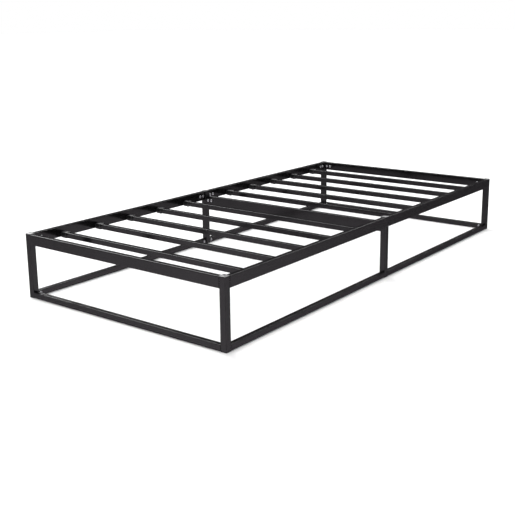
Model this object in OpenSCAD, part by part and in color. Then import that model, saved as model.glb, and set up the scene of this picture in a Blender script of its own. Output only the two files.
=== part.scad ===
// Metal platform bed frame: six square legs, deep top rails, a low ring of floor rails,
// a middle crossbar and ten slats that hang between the side rails.
// +Z is up, the foot end is at -Y, and the origin is on the floor under the middle of the bed.

/* [Overall] */
// Width over the legs
frame_w = 965; // [900:5:1100]
// Length over the legs
frame_l = 2010; // [1900:5:2150]
// Height over the leg caps
frame_h = 250; // [220:5:350]

/* [Legs] */
// Side of the square leg tube
leg_side = 25; // [25:1:32]
// Wall of the leg tube
leg_wall = 1.5; // [1.2:0.1:2]
// Head of the cap on top of a leg
cap_t = 3; // [2:0.5:4]
// Sole of the foot under a leg
sole_t = 3; // [2:0.5:6]
// How far a cap or a foot plugs into the leg tube
plug_len = 15; // [8:1:20]

/* [Top rails] */
// Depth of a top rail and of the crossbar
rail_d = 40; // [36:1:50]
// Width of a top rail and of the crossbar
rail_w = 20; // [20:1:24]
// Wall of a top rail
rail_wall = 1.2; // [1:0.1:1.5]

/* [Floor rails] */
// Side of the square floor rail tube
low_side = 20; // [20:1:24]
// Wall of a floor rail
low_wall = 1.2; // [1:0.1:1.5]

/* [Slats] */
// Slats in each half of the bed
slats_per_half = 5; // [3:1:5]
// Distance between two slats
slat_pitch = 174; // [150:1:180]
// Side of the square slat tube
slat_side = 20; // [20:1:24]
// Wall of a slat
slat_wall = 1; // [0.8:0.1:1.4]

/* [Joints] */
// Length of the plate inside the end of a top rail
plate_len = 44; // [42:1:60]
// Length of the plate inside the end of a floor rail
low_plate_len = 26; // [24:1:40]
// Thickness of a joint plate
plate_t = 3; // [2:0.5:4]
// From the leg to the first bolt
bolt_first = 12; // [10:1:14]
// Between the two bolts of a joint
bolt_gap = 20; // [18:1:22]

/* [Hidden] */
$fn = 48;
// Outer corner radii of the tubes
leg_r = 2.5;
rail_r = 2.5;
low_r = 2;
slat_r = 2;
// Clearance between a plug and its tube, and between a screw and its thread
plug_gap = 0.1;
thread_gap = 0.1;
plug_wall = 2;
// M6 joint bolt: shank, hole, button head and hex socket
bolt_d = 6;
bolt_hole_d = 6.6;
bolt_head_d = 12;
bolt_head_h = 3.5;
bolt_len = 11;
socket_d = 4.6;
socket_depth = 2;
nut_d = 11.5;
nut_h = 5;
// Heights of the joint plates
plate_h = 30;
low_plate_h = 14;
// Hanger that carries one slat end: base on the rail and tongue inside the slat
hanger_base = 18;
hanger_base_t = 2;
tongue_len = 30;
tongue_w = 13;
tongue_t = 3;
// End cap over a slat end
end_cap_gap = 1;
end_cap_len = 30;
end_cap_wall = 1.5;
end_cap_floor = 3;
end_cap_r = 3.5;
slot_gap = 0.5;
// M5 screw that holds a slat end from below
screw_d = 5;
screw_hole_d = 5.5;
screw_head_d = 10;
screw_head_h = 3;
screw_len = 14;
screw_at = 18;
// Overlap that keeps cuts clean
cut = 1;

half_w = frame_w / 2;
half_l = frame_l / 2;
leg_top = frame_h - cap_t;
rail_z = leg_top - rail_d / 2;
slat_z = leg_top - rail_d + slat_side / 2;
cross_z = slat_z + slat_side / 2 - rail_d / 2;
low_z = sole_t + low_side / 2;
// Middle of the slats of one half, between the crossbar and the end rail
half_mid = (half_l - rail_w / 2) / 2;
slat_count = 2 * slats_per_half;
rail_inner = half_w - rail_w;
slat_half_len = rail_inner - hanger_base_t - end_cap_gap - end_cap_floor;

sides = [-1, 1];
rows = [-1, 0, 1];
ends = [-1, 1];
slats = [0 : slat_count - 1];

function side_name(side) = side < 0 ? "left" : "right";
function row_name(row) = row < 0 ? "near" : row > 0 ? "far" : "mid";
function place(row, side) = str(row_name(row), "_", side_name(side));
function slat_name(i) = str("slat_", i < 9 ? "0" : "", i + 1);
// Slats run from the near end to the far end
function slat_row(i) = i < slats_per_half ? -1 : 1;
function slat_y(i) = slat_row(i) * half_mid + (i % slats_per_half - (slats_per_half - 1) / 2) * slat_pitch;

// ---- shared shapes ----

module rounded(w, h, r) {
    square([w - 2 * r, h], center = true);
    square([w, h - 2 * r], center = true);
    for (x = [-1, 1]) for (y = [-1, 1]) translate([x * (w / 2 - r), y * (h / 2 - r)]) circle(r);
}

module tube_profile(w, h, wall, r) {
    difference() {
        rounded(w, h, r);
        rounded(w - 2 * wall, h - 2 * wall, r - wall);
    }
}

// Extrudes a profile along X: the profile's own x becomes Y and its y becomes Z
module along_x(x0, x1) {
    translate([x0, 0, 0]) rotate([90, 0, 90]) linear_extrude(x1 - x0) children();
}

// Extrudes a profile along Y: the profile's own x stays X and its y becomes Z
module along_y(y0, y1) {
    translate([0, y1, 0]) rotate([90, 0, 0]) linear_extrude(y1 - y0) children();
}

// Mirrors a piece of the near left quarter to another quarter
module quarter(row, side) {
    mirror([side > 0 ? 1 : 0, 0, 0]) mirror([0, row > 0 ? 1 : 0, 0]) children();
}

module all_quarters() {
    for (row = ends) for (side = sides) quarter(row, side) children();
}

// ---- joint places in the near left quarter ----
// In each place x runs along the rail from the leg, and z points out of the bolted face.

module side_rail_place(mid) {
    translate([-rail_inner, mid ? -leg_side / 2 : -half_l + leg_side, rail_z])
        mirror([0, mid ? 1 : 0, 0]) rotate([90, 0, 90]) children();
}

module end_rail_place() {
    translate([-half_w + leg_side, -half_l + rail_w, rail_z]) rotate([-90, 0, 0]) children();
}

module crossbar_place() {
    translate([-half_w + leg_side, -rail_w / 2, cross_z]) rotate([90, 0, 0]) children();
}

module floor_side_rail_place(mid) {
    translate([-half_w + low_side, mid ? -leg_side / 2 : -half_l + leg_side, low_z])
        mirror([0, mid ? 1 : 0, 0]) rotate([90, 0, 90]) children();
}

module floor_end_rail_place() {
    translate([-half_w + leg_side, -half_l + low_side, low_z]) rotate([-90, 0, 0]) children();
}

module top_bolt_spots() {
    for (i = [0, 1]) translate([bolt_first + i * bolt_gap, 0, 0]) children();
}

module low_bolt_spot() {
    translate([bolt_first, 0, 0]) children();
}

// ---- fasteners and plates, drawn in a joint place ----

module bolt() {
    difference() {
        union() {
            rotate_extrude() polygon([
                [0, 0],
                [bolt_head_d / 2, 0],
                [bolt_head_d / 2, bolt_head_h * 0.3],
                [bolt_head_d / 2 - 1, bolt_head_h * 0.8],
                [bolt_head_d / 2 - 2.5, bolt_head_h],
                [0, bolt_head_h]
            ]);
            translate([0, 0, -bolt_len]) cylinder(h = bolt_len + cut, d = bolt_d);
        }
        translate([0, 0, bolt_head_h - socket_depth]) cylinder(h = socket_depth + cut, d = socket_d, $fn = 6);
    }
}

module nut(wall) {
    translate([0, 0, -wall - plate_t - nut_h]) difference() {
        cylinder(h = nut_h, d = nut_d, $fn = 6);
        translate([0, 0, -cut]) cylinder(h = nut_h + 2 * cut, d = bolt_d + 2 * thread_gap);
    }
}

module bolt_hole(depth) {
    translate([0, 0, -depth]) cylinder(h = depth + cut, d = bolt_hole_d);
}

module joint_plate(len, height, wall) {
    translate([0, -height / 2, -wall - plate_t]) cube([len, height, plate_t]);
}

module top_plate() {
    difference() {
        joint_plate(plate_len, plate_h, rail_wall);
        top_bolt_spots() bolt_hole(rail_wall + plate_t + cut);
    }
}

module low_plate() {
    difference() {
        joint_plate(low_plate_len, low_plate_h, low_wall);
        low_bolt_spot() bolt_hole(low_wall + plate_t + cut);
    }
}

// ---- legs ----

module at_leg(row, side) {
    translate([side * (half_w - leg_side / 2), row * (half_l - leg_side / 2), 0]) children();
}

module leg(row, side) {
    color("#2b2b2e") at_leg(row, side) translate([0, 0, sole_t])
        linear_extrude(leg_top - sole_t) tube_profile(leg_side, leg_side, leg_wall, leg_r);
}

// Plug of a cap or a foot, from z = 0 up into the tube
module plug() {
    side = leg_side - 2 * leg_wall - 2 * plug_gap;
    linear_extrude(plug_len) tube_profile(side, side, plug_wall, plug_wall + 0.5);
}

module foot(row, side) {
    color("#151517") at_leg(row, side) {
        linear_extrude(sole_t) rounded(leg_side, leg_side, leg_r);
        translate([0, 0, sole_t]) plug();
    }
}

module leg_cap(row, side) {
    color("#3a3a3d") at_leg(row, side) translate([0, 0, leg_top]) {
        linear_extrude(cap_t) rounded(leg_side, leg_side, leg_r);
        translate([0, 0, -plug_len]) plug();
    }
}

// Plates that stand out of one leg into the rails that meet it
module joint_plates(row, side) {
    color("#2b2b2e") if (row == 0) {
        for (end = ends) quarter(end, side) {
            side_rail_place(true) top_plate();
            floor_side_rail_place(true) low_plate();
        }
        quarter(-1, side) crossbar_place() top_plate();
    } else quarter(row, side) {
        side_rail_place(false) top_plate();
        end_rail_place() top_plate();
        floor_side_rail_place(false) low_plate();
        floor_end_rail_place() low_plate();
    }
}

// ---- rails ----

module side_rail(row, side) {
    color("#2b2b2e") quarter(row, side) difference() {
        translate([-half_w + rail_w / 2, 0, rail_z]) along_y(-half_l + leg_side, -leg_side / 2)
            tube_profile(rail_w, rail_d, rail_wall, rail_r);
        for (mid = [false, true]) side_rail_place(mid) top_bolt_spots() bolt_hole(rail_wall + cut);
    }
}

module end_rail(row) {
    color("#2b2b2e") quarter(row, -1) difference() {
        translate([0, -half_l + rail_w / 2, rail_z]) along_x(-half_w + leg_side, half_w - leg_side)
            tube_profile(rail_w, rail_d, rail_wall, rail_r);
        for (side = sides) quarter(-1, side) end_rail_place() top_bolt_spots() bolt_hole(rail_wall + cut);
    }
}

module crossbar() {
    color("#2b2b2e") difference() {
        translate([0, 0, cross_z]) along_x(-half_w + leg_side, half_w - leg_side)
            tube_profile(rail_w, rail_d, rail_wall, rail_r);
        for (side = sides) quarter(-1, side) crossbar_place() top_bolt_spots() bolt_hole(rail_wall + cut);
    }
}

module floor_side_rail(row, side) {
    color("#2b2b2e") quarter(row, side) difference() {
        translate([-half_w + low_side / 2, 0, low_z]) along_y(-half_l + leg_side, -leg_side / 2)
            tube_profile(low_side, low_side, low_wall, low_r);
        for (mid = [false, true]) floor_side_rail_place(mid) low_bolt_spot() bolt_hole(low_wall + cut);
    }
}

module floor_end_rail(row) {
    color("#2b2b2e") quarter(row, -1) difference() {
        translate([0, -half_l + low_side / 2, low_z]) along_x(-half_w + leg_side, half_w - leg_side)
            tube_profile(low_side, low_side, low_wall, low_r);
        for (side = sides) quarter(-1, side) floor_end_rail_place() low_bolt_spot() bolt_hole(low_wall + cut);
    }
}

// ---- slats ----

// One end of one slat: x runs from the rail's inner face along the slat
module slat_end_place(i, side) {
    mirror([side > 0 ? 1 : 0, 0, 0]) translate([-rail_inner, slat_y(i), slat_z]) children();
}

module screw_hole(d, height) {
    translate([screw_at, 0, -height]) cylinder(h = height, d = d);
}

module slat(i) {
    color("#303033") difference() {
        translate([0, slat_y(i), slat_z]) along_x(-slat_half_len, slat_half_len)
            tube_profile(slat_side, slat_side, slat_wall, slat_r);
        for (side = sides) slat_end_place(i, side) screw_hole(screw_hole_d, slat_side / 2 + cut);
    }
}

module slat_hanger() {
    difference() {
        union() {
            translate([0, -hanger_base / 2, -hanger_base / 2]) cube([hanger_base_t, hanger_base, hanger_base]);
            translate([0, -tongue_w / 2, -tongue_t / 2]) cube([hanger_base_t + tongue_len, tongue_w, tongue_t]);
        }
        translate([screw_at, 0, -tongue_t]) cylinder(h = 2 * tongue_t, d = screw_d + 2 * thread_gap);
    }
}

module slat_end_cap() {
    outer = slat_side + 2 * end_cap_wall;
    bore = slat_side + 2 * plug_gap;
    slot_w = tongue_w + 2 * slot_gap;
    slot_h = tongue_t + 2 * slot_gap;
    start = hanger_base_t + end_cap_gap;
    difference() {
        along_x(start, start + end_cap_len) rounded(outer, outer, end_cap_r);
        along_x(start + end_cap_floor, start + end_cap_len + cut) rounded(bore, bore, slat_r);
        translate([0, -slot_w / 2, -slot_h / 2]) cube([start + end_cap_floor + cut, slot_w, slot_h]);
        screw_hole(screw_hole_d, slat_side);
    }
}

module slat_screw() {
    top = -slat_side / 2 - end_cap_wall;
    translate([screw_at, 0, top]) rotate([180, 0, 0]) difference() {
        union() {
            rotate_extrude() polygon([
                [0, 0],
                [screw_head_d / 2, 0],
                [screw_head_d / 2 - 0.5, screw_head_h * 0.6],
                [screw_head_d / 2 - 2, screw_head_h],
                [0, screw_head_h]
            ]);
            translate([0, 0, -screw_len]) cylinder(h = screw_len + cut, d = screw_d);
        }
        translate([0, 0, screw_head_h - socket_depth]) cylinder(h = socket_depth + cut, d = socket_d, $fn = 6);
    }
}

module slat_hangers(side) {
    color("#2b2b2e") for (i = slats) slat_end_place(i, side) slat_hanger();
}

module slat_end_caps(side) {
    color("#19191b") for (i = slats) slat_end_place(i, side) slat_end_cap();
}

module slat_screws() {
    color("#6f7074") for (i = slats) for (side = sides) slat_end_place(i, side) slat_screw();
}

// ---- joint bolts and nuts ----

module side_rail_bolts() {
    color("#b4b6b8") all_quarters() for (mid = [false, true]) side_rail_place(mid) top_bolt_spots() bolt();
}

module end_rail_bolts() {
    color("#b4b6b8") all_quarters() end_rail_place() top_bolt_spots() bolt();
}

module crossbar_bolts() {
    color("#b4b6b8") for (side = sides) quarter(-1, side) crossbar_place() top_bolt_spots() bolt();
}

module floor_rail_bolts() {
    color("#b4b6b8") all_quarters() {
        for (mid = [false, true]) floor_side_rail_place(mid) low_bolt_spot() bolt();
        floor_end_rail_place() low_bolt_spot() bolt();
    }
}

module joint_nuts() {
    color("#8f9194") {
        all_quarters() {
            for (mid = [false, true]) {
                side_rail_place(mid) top_bolt_spots() nut(rail_wall);
                floor_side_rail_place(mid) low_bolt_spot() nut(low_wall);
            }
            end_rail_place() top_bolt_spots() nut(rail_wall);
            floor_end_rail_place() low_bolt_spot() nut(low_wall);
        }
        for (side = sides) quarter(-1, side) crossbar_place() top_bolt_spots() nut(rail_wall);
    }
}

// ---- the nodes ----

for (row = rows) for (side = sides) {
    leg(row, side);
    foot(row, side);
    leg_cap(row, side);
    joint_plates(row, side);
}
for (row = ends) for (side = sides) {
    side_rail(row, side);
    floor_side_rail(row, side);
}
for (row = ends) {
    end_rail(row);
    floor_end_rail(row);
}
for (i = slats) {
    slat(i);
}
for (side = sides) {
    slat_hangers(side);
    slat_end_caps(side);
}
crossbar();
slat_screws();
side_rail_bolts();
end_rail_bolts();
crossbar_bolts();
floor_rail_bolts();
joint_nuts();
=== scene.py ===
"""The looks of a metal platform bed frame: powder-coated tube, moulded caps and feet,
zinc-plated joint bolts, and a plain studio around them. Metres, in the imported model's frame."""

import math

import bpy
from mathutils import Matrix, Vector


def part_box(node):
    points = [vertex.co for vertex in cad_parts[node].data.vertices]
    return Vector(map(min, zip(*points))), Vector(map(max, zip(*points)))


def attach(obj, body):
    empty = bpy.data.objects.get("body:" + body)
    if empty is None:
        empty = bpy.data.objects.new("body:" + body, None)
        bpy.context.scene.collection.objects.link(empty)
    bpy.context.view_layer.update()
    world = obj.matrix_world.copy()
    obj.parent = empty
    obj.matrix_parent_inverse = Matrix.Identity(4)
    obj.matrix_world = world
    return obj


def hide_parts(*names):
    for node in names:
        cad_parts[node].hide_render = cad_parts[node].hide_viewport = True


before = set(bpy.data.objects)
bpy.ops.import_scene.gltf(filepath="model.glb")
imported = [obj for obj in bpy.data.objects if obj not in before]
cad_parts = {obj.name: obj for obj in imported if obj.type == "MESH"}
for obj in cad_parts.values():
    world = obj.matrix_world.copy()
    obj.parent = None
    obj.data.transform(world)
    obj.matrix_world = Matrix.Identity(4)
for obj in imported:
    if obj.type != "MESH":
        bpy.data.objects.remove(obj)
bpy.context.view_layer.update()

MM = 0.001
ROWS = ("near", "mid", "far")
SIDES = ("left", "right")
PLACES = [f"{row}_{side}" for row in ROWS for side in SIDES]
SLATS = sorted(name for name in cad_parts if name.startswith("slat_") and name[5:].isdigit())


# ---------------------------------------------------------------- mesh helpers

def rounded_ring(width, height, radius, steps=6):
    """Points of a rounded rectangle centred on the origin, anticlockwise."""
    points = []
    for corner, (sx, sy) in enumerate(((1, 1), (-1, 1), (-1, -1), (1, -1))):
        cx, cy = sx * (width / 2 - radius), sy * (height / 2 - radius)
        for step in range(steps + 1):
            angle = math.pi / 2 * (corner + step / steps)
            points.append((cx + radius * math.cos(angle), cy + radius * math.sin(angle)))
    return points


def polygon_ring(radius, sides=0, count=36):
    """Points of a circle, or of a polygon with that inscribed radius when sides is given."""
    points = []
    for step in range(count):
        angle = 2 * math.pi * step / count
        reach = radius
        if sides:
            half = math.pi / sides
            reach = radius / math.cos((angle % (2 * half)) - half)
        points.append((reach * math.cos(angle), reach * math.sin(angle)))
    return points


def loft(rings, looped=False):
    """Vertices and faces of a skin over rings of equal length, each ring a list of 3-D points."""
    count = len(rings[0])
    verts = [point for ring in rings for point in ring]
    faces = []
    spans = len(rings) if looped else len(rings) - 1
    for span in range(spans):
        low, high = span * count, (span + 1) % len(rings) * count
        for i in range(count):
            j = (i + 1) % count
            faces.append((low + i, low + j, high + j, high + i))
    if not looped:
        faces.append(tuple(reversed(range(count))))
        faces.append(tuple(range((len(rings) - 1) * count, len(rings) * count)))
    return verts, faces


def at_height(points, z):
    return [(x, y, z) for x, y in points]


def placed(shape, matrix):
    """The same shape, moved by a matrix; a mirroring matrix also flips its faces."""
    verts, faces = shape
    moved = [tuple(matrix @ Vector(v)) for v in verts]
    if matrix.determinant() < 0:
        faces = [tuple(reversed(face)) for face in faces]
    return moved, faces


def piece(name, shapes, material, body="root", sharp_angle=35):
    """One object made of several closed shapes, riding on a body."""
    verts, faces = [], []
    for shape_verts, shape_faces in shapes:
        start = len(verts)
        verts += shape_verts
        faces += [tuple(start + i for i in face) for face in shape_faces]
    mesh = bpy.data.meshes.new(name)
    mesh.from_pydata(verts, [], faces)
    mesh.validate()
    for polygon in mesh.polygons:
        polygon.use_smooth = True
    mesh.set_sharp_from_angle(angle=math.radians(sharp_angle))
    mesh.materials.append(material)
    made = bpy.data.objects.new(name, mesh)
    bpy.context.scene.collection.objects.link(made)
    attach(made, body)
    return made


# ---------------------------------------------------------------- materials

class Nodes:
    """A short hand for building one node material."""

    def __init__(self, name):
        self.material = bpy.data.materials.new(name)
        self.material.use_nodes = True
        self.tree = self.material.node_tree
        self.shader = self.tree.nodes["Principled BSDF"]
        self.place = self.add("ShaderNodeTexCoord").outputs["Object"]

    def add(self, kind, **settings):
        node = self.tree.nodes.new(kind)
        for key, value in settings.items():
            setattr(node, key, value)
        return node

    def link(self, source, target):
        self.tree.links.new(source, target)

    def noise(self, scale, detail=2.0, roughness=0.5, stretch=None):
        node = self.add("ShaderNodeTexNoise")
        node.inputs["Scale"].default_value = scale
        node.inputs["Detail"].default_value = detail
        node.inputs["Roughness"].default_value = roughness
        source = self.place
        if stretch:
            mapping = self.add("ShaderNodeMapping")
            mapping.inputs["Scale"].default_value = stretch
            self.link(source, mapping.inputs["Vector"])
            source = mapping.outputs["Vector"]
        self.link(source, node.inputs["Vector"])
        return node.outputs["Fac"]

    def ramp(self, factor, stops):
        node = self.add("ShaderNodeValToRGB")
        elements = node.color_ramp.elements
        while len(elements) < len(stops):
            elements.new(0.5)
        for element, (position, value) in zip(elements, stops):
            element.position = position
            element.color = (value, value, value, 1) if isinstance(value, float) else (*value, 1)
        self.link(factor, node.inputs["Fac"])
        return node.outputs["Color"]

    def mix(self, factor, first, second):
        """Colour mix; first and second are colours or sockets."""
        node = self.add("ShaderNodeMix", data_type="RGBA")
        self.link(factor, node.inputs["Factor"])
        for socket, value in ((node.inputs[6], first), (node.inputs[7], second)):
            if isinstance(value, tuple):
                socket.default_value = (*value, 1)
            else:
                self.link(value, socket)
        return node.outputs[2]

    def math(self, operation, first, second=None):
        node = self.add("ShaderNodeMath", operation=operation)
        for socket, value in zip(node.inputs, (first, second)):
            if isinstance(value, (int, float)):
                socket.default_value = value
            elif value is not None:
                self.link(value, socket)
        return node.outputs["Value"]

    def edges(self):
        """1 on the rounded corners of a tube that lies along an axis, 0 on its flats."""
        split = self.add("ShaderNodeSeparateXYZ")
        self.link(self.add("ShaderNodeTexCoord").outputs["Normal"], split.inputs[0])
        across, along, up = [self.math("ABSOLUTE", split.outputs[i]) for i in range(3)]
        squareness = self.math("MAXIMUM", self.math("MAXIMUM", across, along), up)
        return self.ramp(squareness, [(0.80, 1.0), (0.96, 0.0)])

    def bump(self, height, strength, distance, under=None):
        node = self.add("ShaderNodeBump")
        node.inputs["Strength"].default_value = strength
        node.inputs["Distance"].default_value = distance
        self.link(height, node.inputs["Height"])
        if under:
            self.link(under, node.inputs["Normal"])
        return node.outputs["Normal"]

    def finish(self, colour, roughness, normal):
        for socket, value in (("Base Color", colour), ("Roughness", roughness), ("Normal", normal)):
            self.link(value, self.shader.inputs[socket])
        return self.material


THIN_COAT = (0.030, 0.029, 0.031)
SPECK_LIFT = 1.7
SPECK_SHARE = 0.35
RUB_ROUGHNESS = 0.05


def powder_coat(name, deep, pale, roughness):
    """Black powder coat: orange peel, fine grain, gloss patches, rub marks, thinner along edges."""
    n = Nodes(name)
    patches = n.noise(7.0, 3.0)
    grain = n.noise(1800.0, 2.0)
    peel = n.noise(620.0, 1.5, 0.4)
    rubs = n.ramp(n.noise(30.0, 4.0, 0.65, stretch=(1.0, 1.0, 6.0)), [(0.60, 0.0), (0.72, 1.0)])
    tone = n.mix(n.ramp(patches, [(0.35, 0.0), (0.65, 1.0)]), deep, pale)
    speck = n.ramp(grain, [(0.62, 0.0), (0.75, 1.0)])
    lifted = tuple(channel * SPECK_LIFT for channel in pale)
    colour = n.mix(n.math("MULTIPLY", speck, SPECK_SHARE), tone, lifted)
    worn_spots = n.ramp(n.noise(45.0, 4.0, 0.6), [(0.40, 0.25), (0.62, 1.0)])
    thin = n.math("MULTIPLY", n.edges(), worn_spots)
    colour = n.mix(thin, colour, THIN_COAT)
    low, high = roughness
    gloss = n.ramp(n.noise(22.0, 3.0), [(0.3, low), (0.7, high)])
    worn = n.math("ADD", gloss, n.math("MULTIPLY", rubs, RUB_ROUGHNESS))
    normal = n.bump(peel, 0.05, 0.0003)
    normal = n.bump(grain, 0.05, 0.00006, under=normal)
    n.shader.inputs["Specular IOR Level"].default_value = 0.36
    return n.finish(colour, worn, normal)


def moulded_plastic(name, deep, pale, roughness, grain_scale=1400.0, grain_depth=0.12):
    """Injection-moulded plastic: spark-eroded grain, flow marks and handling haze."""
    n = Nodes(name)
    flow = n.noise(60.0, 3.0, 0.6, stretch=(1.0, 1.0, 3.0))
    grain = n.noise(grain_scale, 2.0)
    haze = n.noise(140.0, 3.0)
    colour = n.mix(n.ramp(flow, [(0.3, 0.0), (0.7, 1.0)]), deep, pale)
    low, high = roughness
    gloss = n.ramp(haze, [(0.3, low), (0.7, high)])
    normal = n.bump(grain, grain_depth, 0.00012)
    n.shader.inputs["Specular IOR Level"].default_value = 0.5
    return n.finish(colour, gloss, normal)


def plated_steel(name, deep, pale, roughness):
    """Zinc plate or black oxide on cold-headed steel: crystalline mottling and turning marks."""
    n = Nodes(name)
    mottle = n.noise(900.0, 4.0, 0.7)
    drag = n.noise(2600.0, 2.0, 0.5, stretch=(1.0, 1.0, 0.2))
    colour = n.mix(n.ramp(mottle, [(0.35, 0.0), (0.65, 1.0)]), deep, pale)
    low, high = roughness
    gloss = n.ramp(mottle, [(0.3, low), (0.7, high)])
    normal = n.bump(drag, 0.15, 0.00008)
    n.shader.inputs["Metallic"].default_value = 1.0
    return n.finish(colour, gloss, normal)


def painted_weld(name):
    """A weld bead under the powder coat: a paler, rougher paint with solidification ripples."""
    n = Nodes(name)
    ripple = n.noise(900.0, 3.0, stretch=(1.0, 1.0, 2.0))
    stain = n.noise(80.0, 3.0)
    streaks = n.ramp(stain, [(0.3, 0.0), (0.7, 1.0)])
    colour = n.mix(streaks, (0.008, 0.008, 0.009), (0.016, 0.015, 0.016))
    gloss = n.ramp(ripple, [(0.3, 0.40), (0.7, 0.58)])
    normal = n.bump(ripple, 0.4, 0.0003)
    n.shader.inputs["Specular IOR Level"].default_value = 0.42
    return n.finish(colour, gloss, normal)


PAINT = powder_coat(
    "satin_black_powder_coat", (0.0045, 0.0042, 0.0046), (0.0075, 0.0070, 0.0076), (0.11, 0.17)
)
SLAT_PAINT = powder_coat(
    "satin_black_slat_coat", (0.0050, 0.0047, 0.0051), (0.0080, 0.0075, 0.0081), (0.10, 0.16)
)
FOOT = moulded_plastic(
    "moulded_foot_black", (0.004, 0.004, 0.0045), (0.009, 0.009, 0.0095), (0.50, 0.66)
)
CAP = moulded_plastic(
    "moulded_cap_gloss", (0.10, 0.10, 0.102), (0.15, 0.15, 0.153), (0.20, 0.30),
    grain_scale=900.0, grain_depth=0.06
)
END_CAP = moulded_plastic(
    "moulded_end_cap_black", (0.005, 0.005, 0.0055), (0.009, 0.009, 0.0095), (0.26, 0.36)
)
ZINC = plated_steel("zinc_plated_steel", (0.56, 0.57, 0.58), (0.74, 0.75, 0.76), (0.20, 0.34))
OXIDE = plated_steel("black_oxide_steel", (0.05, 0.05, 0.053), (0.10, 0.10, 0.104), (0.30, 0.45))
WELD = painted_weld("painted_weld_bead")


# ---------------------------------------------------------------- legs: caps and feet

def leg_centre(place):
    low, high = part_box(f"leg_{place}")
    return (low.x + high.x) / 2, (low.y + high.y) / 2


def square_rings(profile):
    """Rings of a square form from (side, corner radius, height) steps, in millimetres."""
    return [
        at_height(rounded_ring(side * MM, side * MM, radius * MM), height * MM)
        for side, radius, height in profile
    ]


def arc_steps(side, radius, height, roll, up, steps=5):
    """Profile steps that roll a square side's edge over by a quarter turn, up or down."""
    made = []
    for step in range(steps + 1):
        angle = math.pi / 2 * step / steps
        inset = roll * (1 - math.cos(angle))
        rise = roll * math.sin(angle)
        made.append((side - 2 * inset, max(0.3, radius - inset), height + (rise if up else -rise)))
    return made


# Millimetres. A crown step is how much narrower than the head, and how far below its top, as a
# share of the crown's height.
LEG_RADIUS = 2.5
PLUG_SIDE, PLUG_RADIUS = 21.8, 2.0
PLUG_TIP_SIDE, PLUG_TIP_RADIUS, PLUG_TAPER = 21.0, 1.6, 2.0
PLUG_BORE, PLUG_BORE_RADIUS = 17.0, 1.2
CAP_ROLL = 1.1
CAP_CROWN = 0.95
CAP_SKIN = 1.2
CROWN_STEPS = ((4.2, 0.78), (6.6, 0.52), (9.2, 0.26), (12.2, 0.10), (16.0, 0.02))
FOOT_ROLL = 0.7
FOOT_DISH = 0.8


def cap_shape(place):
    """A hollow plug with a low crowned head; its lip sits on the end of the leg tube."""
    x, y = leg_centre(place)
    low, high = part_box(f"leg_cap_{place}")
    tube_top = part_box(f"leg_{place}")[1].z
    head = (high.z - tube_top) / MM
    tip = (low.z - tube_top) / MM
    side = (high.x - low.x) / MM
    profile = [(2.0, 0.4, -CAP_SKIN), (PLUG_BORE, PLUG_BORE_RADIUS, -CAP_SKIN)]
    profile += [(PLUG_BORE, PLUG_BORE_RADIUS, tip), (PLUG_TIP_SIDE, PLUG_TIP_RADIUS, tip)]
    profile += [(PLUG_SIDE, PLUG_RADIUS, tip + PLUG_TAPER), (PLUG_SIDE, PLUG_RADIUS, 0.0)]
    profile += [(side - 0.6, 2.2, 0.0), (side, LEG_RADIUS, 0.3)]
    profile += arc_steps(side, LEG_RADIUS, head - CAP_CROWN - CAP_ROLL, CAP_ROLL, up=True)
    profile += [(side - inset, 2.2, head - CAP_CROWN * fall) for inset, fall in CROWN_STEPS]
    profile += [(3.0, 0.6, head)]
    return placed(loft(square_rings(profile)), Matrix.Translation((x, y, tube_top)))


def foot_shape(place):
    """A hollow plug with a flat sole, rolled at the floor edge and dished in the middle."""
    x, y = leg_centre(place)
    low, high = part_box(f"foot_{place}")
    side = (high.x - low.x) / MM
    sole = (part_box(f"leg_{place}")[0].z - low.z) / MM
    tip = (high.z - low.z) / MM
    profile = [(3.0, 0.6, FOOT_DISH), (12.0, 1.0, FOOT_DISH), (13.0, 1.2, 0.0)]
    profile += list(reversed(arc_steps(side, LEG_RADIUS, FOOT_ROLL, FOOT_ROLL, up=False)))
    profile += [(side, LEG_RADIUS, sole - 0.2), (side - 0.4, 2.4, sole)]
    profile += [(PLUG_SIDE, PLUG_RADIUS, sole), (PLUG_SIDE, PLUG_RADIUS, tip - PLUG_TAPER)]
    profile += [(PLUG_TIP_SIDE, PLUG_TIP_RADIUS, tip), (PLUG_BORE, PLUG_BORE_RADIUS, tip)]
    profile += [(PLUG_BORE, PLUG_BORE_RADIUS, sole + 1.0), (2.0, 0.4, sole + 1.0)]
    return placed(loft(square_rings(profile)), Matrix.Translation((x, y, low.z)))


for place in PLACES:
    cap = piece(f"cap_{place}", [cap_shape(place)], CAP)
    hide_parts(f"leg_cap_{place}")
    foot = piece(f"sole_{place}", [foot_shape(place)], FOOT)
    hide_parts(f"foot_{place}")


# ---------------------------------------------------------------- bolts and screws

# A ring's sides: 0 is round. The rim is the straight part below a head's dome.
HEX = 6
DOME_STEPS = 7
RIM_SHARE = 0.28


def button_head(radius, height, shank_radius, shank_length, socket=4.0):
    """A domed head with a hex socket on a plain shank; z points out of the joint. Millimetres."""
    rings = [(shank_radius - 0.6, 0, -shank_length), (shank_radius, 0, -shank_length + 0.6)]
    rings += [(shank_radius, 0, -0.02), (radius - 0.25, 0, 0.0), (radius, 0, 0.25)]
    rings += [(radius, 0, height * RIM_SHARE)]
    mouth = socket / 2 + 1.0
    for step in range(1, DOME_STEPS + 1):
        angle = math.pi / 2 * step / DOME_STEPS
        reach = mouth + (radius - mouth) * math.cos(angle)
        rings.append((reach, 0, height * (RIM_SHARE + (1 - RIM_SHARE) * math.sin(angle))))
    rings += [(socket / 2 + 0.35, 0, height), (socket / 2, HEX, height - 0.3)]
    rings += [(socket / 2, HEX, height - 2.0), (0.3, 0, height - 2.6)]
    return loft([at_height(polygon_ring(r * MM, sides), z * MM) for r, sides, z in rings])


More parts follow.
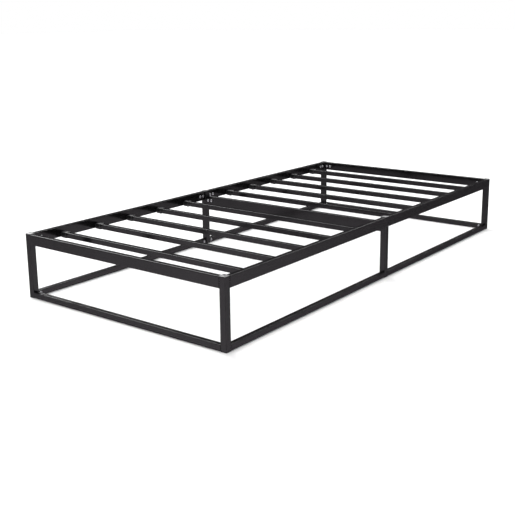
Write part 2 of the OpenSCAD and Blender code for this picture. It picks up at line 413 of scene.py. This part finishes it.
def out_of(point, normal, spin=0.0):
    """A matrix that stands a shape's z along a normal at a point."""
    turn = Vector(normal).to_track_quat("Z", "Y").to_matrix().to_4x4()
    return Matrix.Translation(point) @ turn @ Matrix.Rotation(spin, 4, "Z")


# Head radius and height, shank radius and length, in millimetres.
RAIL_BOLT = (6.0, 3.5, 3.0, 11.0)
BOLT_FIRST = 12 * MM
BOLT_GAP = 20 * MM
BOLT_SPINS = (0.2, 0.9, 0.5, 1.3, 0.05, 0.7, 1.1)


def end_spots(low, high, along, count):
    """Distances along one rail of the bolts at both of its ends."""
    starts = [BOLT_FIRST + BOLT_GAP * i for i in range(count)]
    return [low[along] + s for s in starts] + [high[along] - s for s in starts]


def rail_bolt_shapes(node, along, count):
    """Bolts on the inner face of a rail; along is its axis, 0 across the bed or 1 down its side."""
    low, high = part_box(node)
    across = 1 - along
    middle = (low + high) / 2
    inward = -1 if middle[across] > 0 or node == "crossbar" else 1
    face = low[across] if inward < 0 else high[across]
    normal = Vector((0, 0, 0))
    normal[across] = inward
    shapes = []
    for i, spot in enumerate(end_spots(low, high, along, count)):
        point = middle.copy()
        point[along], point[across] = spot, face
        spin = BOLT_SPINS[i % len(BOLT_SPINS)]
        shapes.append(placed(button_head(*RAIL_BOLT), out_of(point, normal, spin)))
    return shapes


def bolts(name, rails, along, count):
    """One piece with all the bolts of one kind of rail, count at each end."""
    shapes = [shape for rail in rails for shape in rail_bolt_shapes(rail, along, count)]
    made = piece(f"{name}_heads", shapes, ZINC)
    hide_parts(name)


ENDS = ("near", "far")
side_rails = [f"side_rail_{end}_{side}" for end in ENDS for side in SIDES]
bolts("side_rail_bolts", side_rails, 1, 2)
bolts("end_rail_bolts", [f"end_rail_{end}" for end in ENDS], 0, 2)
bolts("crossbar_bolts", ["crossbar"], 0, 2)

floor_bolts = []
for end in ENDS:
    floor_bolts += rail_bolt_shapes(f"floor_end_rail_{end}", 0, 1)
    for side in SIDES:
        floor_bolts += rail_bolt_shapes(f"floor_side_rail_{end}_{side}", 1, 1)
floor_heads = piece("floor_rail_bolt_heads", floor_bolts, ZINC)
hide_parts("floor_rail_bolts")


# ---------------------------------------------------------------- slat ends

END_CAP_OUT = 23.0
END_CAP_BORE = 20.1
END_CAP_LONG = 30.0
END_CAP_START = 3.0
SCREW_AT = 18.0


def end_cap_shape():
    """A sleeve over a slat's end, open to the rail only for the tongue; x runs along the slat."""
    out, bore, long = END_CAP_OUT, END_CAP_BORE, END_CAP_LONG
    roll = 2.4
    steps = [(14.0, 4.0, 0.5, 3.0), (14.0, 4.0, 0.5, 0.0)]
    for side, radius, x in reversed(arc_steps(out, 3.5, roll, roll, up=False)):
        steps.append((side, side, max(radius, 1.0), x))
    for groove in (6.0, 9.0):
        steps += [(out, out, 3.5, groove), (out - 0.7, out - 0.7, 3.2, groove + 0.5)]
        steps += [(out - 0.7, out - 0.7, 3.2, groove + 1.1), (out, out, 3.5, groove + 1.6)]
    steps += [(out, out, 3.5, long - 0.8), (out - 0.9, out - 0.9, 3.1, long - 0.1)]
    steps += [(out - 1.6, out - 1.6, 2.8, long)]
    steps += [(bore, bore, 2.2, long - 0.2), (bore, bore, 2.2, 3.0)]
    rings = []
    for width, height, radius, x in steps:
        ring = rounded_ring(width * MM, height * MM, radius * MM)
        rings.append([((x + END_CAP_START) * MM, y, z) for y, z in ring])
    return loft(rings, looped=True)


def bead(start, end, radius, ripples):
    """A weld bead between two points: a rippled round run with tapered ends."""
    start, end = Vector(start), Vector(end)
    axis = (end - start).normalized()
    turn = axis.to_track_quat("Z", "Y").to_matrix()
    rings = []
    count = ripples * 4
    for i in range(count + 1):
        t = i / count
        swell = 1 + 0.14 * math.cos(2 * math.pi * ripples * t)
        taper = min(1.0, 0.35 + 4 * min(t, 1 - t))
        reach = radius * swell * taper
        centre = start.lerp(end, t)
        circle = at_height(polygon_ring(reach, count=12), 0)
        rings.append([tuple(centre + turn @ Vector(point)) for point in circle])
    return loft(rings)


def slat_end_frame(slat, side):
    """x runs from the side rail's inner face along the slat, from the given side."""
    low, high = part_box(slat)
    rail_low, rail_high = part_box(f"side_rail_near_{side}")
    face = rail_high.x if side == "left" else rail_low.x
    flip = Matrix.Scale(-1, 4, (1, 0, 0)) if side == "right" else Matrix.Identity(4)
    return Matrix.Translation((face, (low.y + high.y) / 2, (low.z + high.z) / 2)) @ flip


UNDER_CAP = out_of((SCREW_AT * MM, 0, -END_CAP_OUT / 2 * MM), (0, 0, -1))
# Head radius and height, shank radius and length, hex socket, in millimetres.
SLAT_SCREW = (5.0, 3.0, 2.5, 14.0, 3.0)
HANGER_HALF = 9.0 * MM
BEAD_FROM_RAIL = 0.4 * MM
BEAD_RADIUS = 1.5 * MM
BEAD_RUN = 0.8 * HANGER_HALF
BEAD_RIPPLES = 6
screws = []
for side in SIDES:
    caps, beads = [], []
    for slat in SLATS:
        stand = slat_end_frame(slat, side)
        caps.append(placed(end_cap_shape(), stand))
        screws.append(placed(button_head(*SLAT_SCREW), stand @ UNDER_CAP))
        for y in (-HANGER_HALF, HANGER_HALF):
            foot_end = (BEAD_FROM_RAIL, y, -BEAD_RUN)
            head_end = (BEAD_FROM_RAIL, y, BEAD_RUN)
            beads.append(placed(bead(foot_end, head_end, BEAD_RADIUS, BEAD_RIPPLES), stand))
    end_caps = piece(f"end_caps_{side}", caps, END_CAP)
    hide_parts(f"slat_end_caps_{side}")
    welds = piece(f"hanger_welds_{side}", beads, WELD, sharp_angle=60)
screw_heads = piece("slat_screw_heads", screws, OXIDE)
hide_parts("slat_screws")


# ---------------------------------------------------------------- carried-over tubes

def paint(node, material):
    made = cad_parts[node]
    for slot in made.material_slots:
        slot.material = material


REMADE = ("leg_cap", "foot_", "slat_end_caps", "slat_screws")
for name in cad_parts:
    if name in SLATS:
        paint(name, SLAT_PAINT)
    elif name == "joint_nuts":
        paint(name, ZINC)
    elif not name.startswith(REMADE) and not name.endswith("_bolts"):
        paint(name, PAINT)


# ---------------------------------------------------------------- studio

def floor(size, albedo):
    """A matt pale plane that is left out of reflections, and that is clear from below."""
    verts = [(-size, -size, 0), (size, -size, 0), (size, size, 0), (-size, size, 0)]
    mesh = bpy.data.meshes.new("studio_floor")
    mesh.from_pydata(verts, [], [(0, 1, 2, 3)])
    n = Nodes("studio_floor")
    colour = n.ramp(n.noise(0.8, 2.0), [(0.3, albedo), (0.7, albedo + 0.01)])
    rough = n.ramp(n.noise(3.0, 2.0), [(0.3, 0.92), (0.7, 0.98)])
    n.link(colour, n.shader.inputs["Base Color"])
    n.link(rough, n.shader.inputs["Roughness"])
    n.shader.inputs["Specular IOR Level"].default_value = 0.0
    clear = n.add("ShaderNodeBsdfTransparent").outputs["BSDF"]
    one_sided = n.add("ShaderNodeMixShader")
    n.link(n.add("ShaderNodeNewGeometry").outputs["Backfacing"], one_sided.inputs["Fac"])
    n.link(n.shader.outputs["BSDF"], one_sided.inputs[1])
    n.link(clear, one_sided.inputs[2])
    n.link(one_sided.outputs["Shader"], n.tree.nodes["Material Output"].inputs["Surface"])
    mesh.materials.append(n.material)
    made = bpy.data.objects.new("studio_floor", mesh)
    bpy.context.scene.collection.objects.link(made)
    made.visible_glossy = False


def ranged(tree, source, span, result):
    node = tree.nodes.new("ShaderNodeMapRange")
    node.inputs["From Min"].default_value, node.inputs["From Max"].default_value = span
    node.inputs["To Min"].default_value, node.inputs["To Max"].default_value = result
    tree.links.new(source, node.inputs["Value"])
    return node.outputs["Result"]


def combined(tree, operation, first, second, third=0.0):
    node = tree.nodes.new("ShaderNodeMath")
    node.operation = operation
    tree.links.new(first, node.inputs[0])
    tree.links.new(second, node.inputs[1])
    node.inputs[2].default_value = third
    return node.outputs["Value"]


def surroundings():
    """White where the camera looks past the floor. For light and reflections a dim dome and, below
    the horizon, a pale set that fades towards the horizon. The set is dimmer towards the front
    right, and nearly dark behind the bed to the back left."""
    world = bpy.data.worlds.new("studio")
    world.use_nodes = True
    tree = world.node_tree
    way = tree.nodes.new("ShaderNodeTexCoord").outputs["Generated"]
    split = tree.nodes.new("ShaderNodeSeparateXYZ")
    tree.links.new(way, split.inputs[0])
    diagonal = combined(tree, "MULTIPLY", split.outputs["X"], split.outputs["Y"])
    sides = ranged(tree, diagonal, DIAGONAL_FADE, (FRONT_RIGHT, SET_LIGHT))
    facing = combined(tree, "SUBTRACT", split.outputs["X"], split.outputs["Y"])
    front = ranged(tree, facing, BEHIND_FADE, (BEHIND_BED, 1.0))
    below = ranged(tree, split.outputs["Z"], SET_DEPTH, (1.0, 0.0))
    set_level = combined(tree, "MULTIPLY", sides, front)
    level = combined(tree, "MULTIPLY_ADD", set_level, below, DOME_LIGHT)
    dome = tree.nodes["Background"]
    dome.inputs["Color"].default_value = (*SET_TINT, 1)
    tree.links.new(level, dome.inputs["Strength"])
    white = tree.nodes.new("ShaderNodeBackground")
    white.inputs["Color"].default_value = (1, 1, 1, 1)
    path = tree.nodes.new("ShaderNodeLightPath")
    mix = tree.nodes.new("ShaderNodeMixShader")
    tree.links.new(path.outputs["Is Camera Ray"], mix.inputs["Fac"])
    tree.links.new(dome.outputs["Background"], mix.inputs[1])
    tree.links.new(white.outputs["Background"], mix.inputs[2])
    tree.links.new(mix.outputs["Shader"], tree.nodes["World Output"].inputs["Surface"])
    bpy.context.scene.world = world


def soft_light(name, strength, spread, towards):
    """A distant round softbox: spread is its angle across, towards points from the bed to it."""
    light = bpy.data.lights.new(name, "SUN")
    light.energy, light.angle = strength, math.radians(spread)
    made = bpy.data.objects.new(name, light)
    made.rotation_euler = Vector(towards).to_track_quat("Z", "Y").to_euler()
    bpy.context.scene.collection.objects.link(made)


FLOOR_HALF = 60.0
FLOOR_ALBEDO = 0.90
DOME_LIGHT = 0.04
SET_TINT = (1.0, 0.93, 1.0)
SET_LIGHT = 1.08
FRONT_RIGHT = 0.30
DIAGONAL_FADE = (-0.42, -0.05)
BEHIND_FADE = (-0.42, 0.12)
BEHIND_BED = 0.14
SET_DEPTH = (-0.25, -0.11)

floor(FLOOR_HALF, FLOOR_ALBEDO)
surroundings()
soft_light("key_left", 2.6, 40, (-0.73, 0.32, 0.60))
soft_light("rim_behind", 0.5, 24, (-0.30, 0.78, 0.55))
soft_light("fill_overhead", 3.1, 70, (0.0, 0.0, 1.0))


# ---------------------------------------------------------------- camera

CAMERA_AT = (2.1046, -2.9328, 1.0117)
CAMERA_TURN = 37.766
CAMERA_TILT = -13.188
CAMERA_ROLL = -0.690
CAMERA_LENS = 60.157
CAMERA_SHIFT = -0.07

camera_data = bpy.data.cameras.new("camera")
camera_data.lens, camera_data.sensor_width = CAMERA_LENS, 36.0
camera_data.shift_y = CAMERA_SHIFT
camera_data.clip_start, camera_data.clip_end = 0.05, 200.0
camera = bpy.data.objects.new("camera", camera_data)
camera.matrix_world = (
    Matrix.Translation(CAMERA_AT)
    @ Matrix.Rotation(math.radians(CAMERA_TURN), 4, "Z")
    @ Matrix.Rotation(math.radians(90 + CAMERA_TILT), 4, "X")
    @ Matrix.Rotation(math.radians(CAMERA_ROLL), 4, "Z")
)
bpy.context.scene.collection.objects.link(camera)
bpy.context.scene.camera = camera
bpy.context.scene.view_settings.view_transform = "Standard"
